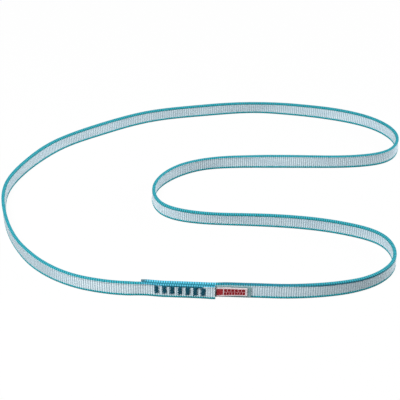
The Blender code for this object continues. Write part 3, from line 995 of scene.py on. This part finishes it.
rear_leaf = leaf("label_rear_cloth", REAR_SIZE, REAR_FACE, REAR_FOOT, REAR_BOW, REAR_START)
front_leaf = leaf(
    "label_front_cloth", FRONT_SIZE, FRONT_FACE, FRONT_FOOT, FRONT_BOW, FRONT_START, slant=SLANT
)
sewn_size = (SEWN_TO, FRONT_SIZE[1])
sewn_end = leaf("label_sewn_cloth", sewn_size, SEWN_FACE, FRONT_FOOT, 0, SEWN_FROM, SEWN_THICKNESS)
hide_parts("label_rear_leaf")
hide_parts("label_front_leaf")
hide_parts("label_sewn_end")
print("leaves:", [piece.name for piece in (rear_leaf, front_leaf, sewn_end)])

# %% The leaves fixed where they lie
def bend(piece, bodies, face):
    """Bakes the leaf's place into its mesh."""
    places = [strip.at(ROOT + t, face, 0).tolist() for t in (BEND_START, BEND_END)]
    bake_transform(piece)


bend(rear_leaf, ("sling", "label_rear"), REAR_FACE)
bend(front_leaf, ("label_rear", "label_front"), FRONT_FACE)
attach(sewn_end, "sling")
print(f"each leaf bends over {(BEND_END - BEND_START) / MM:.1f} mm")

# %% [markdown]
# ## Finish of the label
#
# A woven label has a fine, regular weave, much finer than the webbing's. Its motif is woven in
# with red weft, so its edges are a little soft. It is a plain border pattern, a red block and two
# rows of dashes, each worked out from distances along and up the leaf.

# %% White and grey-green tape
TAPE_THREAD = 0.16 * MM
TAPE_WHITE = (0.78, 0.68, 0.70, 1)
# Darker tones: painted shade between the threads of the weave, and a cloudy tone
TAPE_WHITE_DARK = (0.60, 0.51, 0.53, 1)
TAPE_GREEN = (0.27, 0.44, 0.46, 1)
TAPE_GREEN_DARK = (0.18, 0.30, 0.31, 1)
RED = (0.22, 0.001, 0.006, 1)
BLOCK_RED = (0.34, 0.020, 0.028, 1)
PINK = (0.62, 0.30, 0.33, 1)  # undyed warp over red weft, between the dashes
RED_BLOCK = (-0.3 * MM, 4.5 * MM, 1.4 * MM, 6.9 * MM)
DASH_ROWS = ((4.0 * MM, 6.6 * MM, 2.4 * MM), (1.0 * MM, 3.7 * MM, 1.8 * MM))
DASHES_FROM, DASHES_TO = 5.0 * MM, 19.4 * MM
SOFT_EDGE = 0.10 * MM


def inside(value, low, high, soft=SOFT_EDGE):
    """1 between low and high, with a soft edge at each."""
    return value.between((low - soft, low + soft), (high - soft, high + soft))


def motif(along, around):
    """1 in the front leaf's block, 1 in its dashes, and 1 in the band between and round them."""
    left, right, low, high = RED_BLOCK
    block = inside(along, left, right) * inside(around, low, high)
    band = inside(along, DASHES_FROM, DASHES_TO)
    dashes = 0
    for low, high, pitch in DASH_ROWS:
        dash = inside(((along - DASHES_FROM) / pitch).fraction(), 0.06, 0.90, 0.05)
        dashes = inside(around, low, high) * dash * band + dashes
    return block, dashes, band * inside(around, DASH_ROWS[-1][0], DASH_ROWS[0][1])


def tape(name, light, dark, marked):
    """Woven tape in two tones, with the motif where it is marked."""
    made, start, along, around = new_material(name)
    warp = (around / TAPE_THREAD).bumps(2)
    weft = (along / TAPE_THREAD).bumps(2)
    weave = warp * 0.5 + weft * 0.5
    cloud = start.noise(300, 300, 2)
    # Painted shade between the threads of the weave, mixed with a cloudy tone
    colour = (weave * 0.8 + cloud * 0.4).fade(0.1, 1.0).mix(dark, light)
    if marked:
        block, dashes, band = motif(along, around)
        colour = block.mix(dashes.mix(band.mix(colour, PINK), RED), BLOCK_RED)
    return paint(made, colour, 0.6 + 0.2 * cloud, weave, 0.03 * MM, Specular_IOR_Level=0.2)


front_leaf.data.materials.append(tape("white_woven_tape", TAPE_WHITE, TAPE_WHITE_DARK, True))
rear_leaf.data.materials.append(tape("grey_green_woven_tape", TAPE_GREEN, TAPE_GREEN_DARK, False))
sewn_end.data.materials.append(tape("sewn_label_tape", TAPE_WHITE, TAPE_WHITE_DARK, False))
print("nodes in the white tape:", len(front_leaf.active_material.node_tree.nodes))

# %% [markdown]
# ## Floor, light and background
#
# The sling stands on a white sweep under very soft light. A floor that is truly white under honest
# lamps renders a little grey, and more light would bleach the webbing. So the floor shows part of
# its own light to the camera only: it reaches white, and what is left of its diffuse part still
# takes the sling's shadow.

# %% Floor
FLOOR_SIZE = 3.0
FLOOR_WHITE = 0.44
GLOW_SHARE = 0.95
GLOW = 1.015  # a little over white, to make up for the diffuse part's grey
WHITE = (1, 1, 1, 1)

floor_mesh = bpy.data.meshes.new("floor")
half = FLOOR_SIZE / 2
floor_mesh.from_pydata(
    [(-half, -half, 0), (half, -half, 0), (half, half, 0), (-half, half, 0)], [], [(0, 1, 2, 3)]
)
floor = bpy.data.objects.new("floor", floor_mesh)
scene.collection.objects.link(floor)
floor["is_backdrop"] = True

made = bpy.data.materials.new("white_floor")
made.use_nodes = True
start = Wire(made.node_tree)


def seen(start):
    """1 for the camera's own rays and for what shiny or clear pieces show, else 0."""
    kinds = ("Camera", "Glossy", "Transmission")
    camera_ray, glossy, through = (
        start.node("ShaderNodeLightPath", output=f"Is {kind} Ray") for kind in kinds
    )
    return camera_ray.larger(glossy).larger(through)


floor_grey = (FLOOR_WHITE, FLOOR_WHITE, FLOOR_WHITE, 1)
diffuse = start.node("ShaderNodeBsdfDiffuse", None, {"Color": floor_grey})
glow = start.node("ShaderNodeEmission", None, {"Color": WHITE, "Strength": GLOW})
mixed = start.node("ShaderNodeMixShader", None, {0: seen(start) * GLOW_SHARE, 1: diffuse, 2: glow})
made.node_tree.links.new(mixed.socket, made.node_tree.nodes["Material Output"].inputs["Surface"])
floor.data.materials.append(made)
print("floor", FLOOR_SIZE, "m wide")

# %% World
SKY_LIGHT = 0.035

world = bpy.data.worlds.new("studio")
scene.world = world
world.use_nodes = True
start = Wire(world.node_tree)
shown = start.node("ShaderNodeBackground", None, {"Color": WHITE, "Strength": 1})
ambient = start.node("ShaderNodeBackground", None, {"Color": WHITE, "Strength": SKY_LIGHT})
mixed = start.node("ShaderNodeMixShader", None, {0: seen(start), 1: ambient, 2: shown})
world.node_tree.links.new(mixed.socket, world.node_tree.nodes["World Output"].inputs["Surface"])
print("nodes in the world:", len(world.node_tree.nodes))

# %% [markdown]
# Two large softboxes light the sling: the brighter one from the front left and above, and one low
# on the right that shades the ribs. The larger a lamp is, the softer are its shadows.

# %% Lamps
LAMPS = (  # name, place, size, power
    ("key_softbox", (-0.42, -0.42, 1.04), 0.7, 23.6),
    ("side_softbox", (1.09, 0.29, 0.41), 0.6, 13.1),
)
for name, place, size, power in LAMPS:
    light = bpy.data.lights.new(name, "AREA")
    light.size, light.energy = size, power
    lamp = bpy.data.objects.new(name, light)
    lamp.location = place
    toward = -lamp.location
    lamp.rotation_euler = toward.to_track_quat("-Z", "Y").to_euler()
    scene.collection.objects.link(lamp)
    print(name, power, "W at", place)
scene.view_settings.view_transform = "Standard"

# %% [markdown]
# ## The sizes
#
# Cloth and thread may stand a little proud of the solid, and no more. The sizes of the two boxes
# are printed.

# %% Sizes
boxes = {"cad": cad_box, "visual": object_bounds()}
for name, box in boxes.items():
    print(name, [round((high - low) * 1000, 2) for low, high in zip(*box)], "mm")
